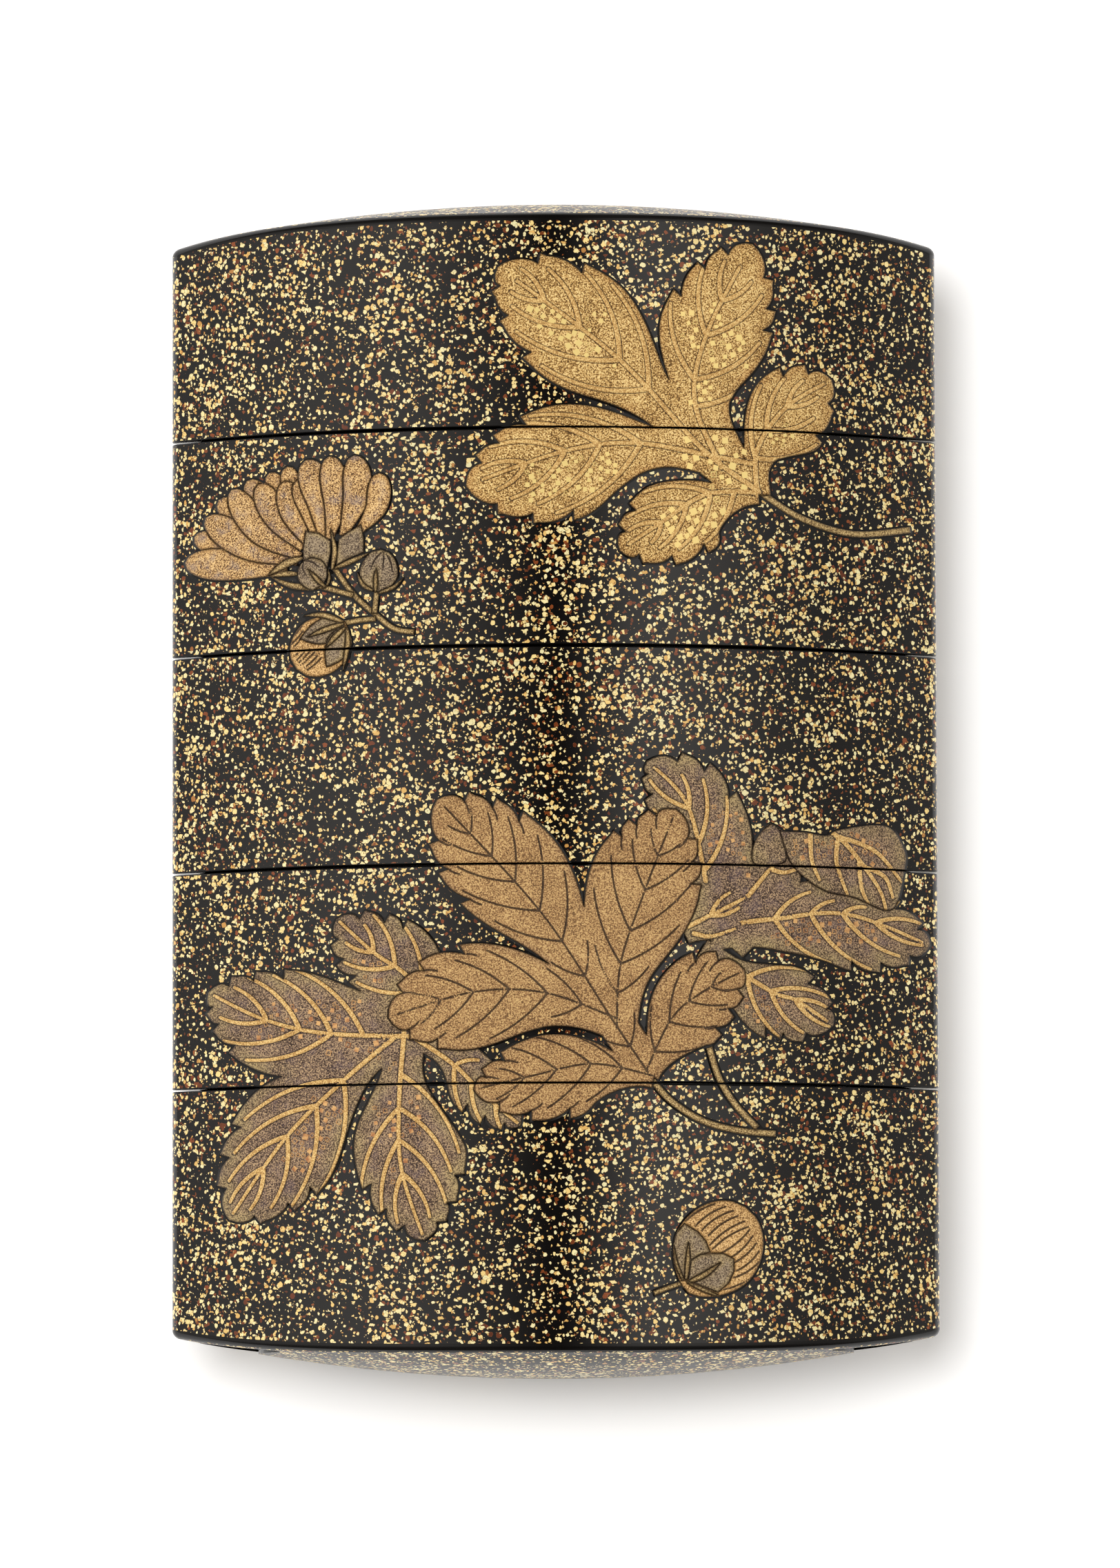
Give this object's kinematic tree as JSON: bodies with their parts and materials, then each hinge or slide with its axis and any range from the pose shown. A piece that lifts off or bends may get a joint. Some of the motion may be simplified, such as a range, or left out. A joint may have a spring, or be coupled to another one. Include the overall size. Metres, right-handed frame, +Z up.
{
  "type": "inro case",
  "caption": "Lens-shaped lacquered inro case lying on its back: a lid and stacked trays with cord channels in the narrow sides and raised gold leaves.",
  "frame": {"origin": "on the ground under the middle of the case, in the middle of the resting flat on its back", "axes": "+Z up out of the decorated front, +Y along the case towards the lid, +X across it to the right as the front is seen"},
  "size_m": [0.058, 0.089, 0.0232],
  "materials": {
    "flaked_lacquer": "polished black lacquer over wood, thickly set with flat gold flakes, with raised leaves in gold and silver powder"
  },
  "bodies": {
    "root": {"lid": "flaked_lacquer", "tray_1": "flaked_lacquer", "tray_2": "flaked_lacquer", "tray_3": "flaked_lacquer", "tray_4": "flaked_lacquer"}
  },
  "joints": []
}
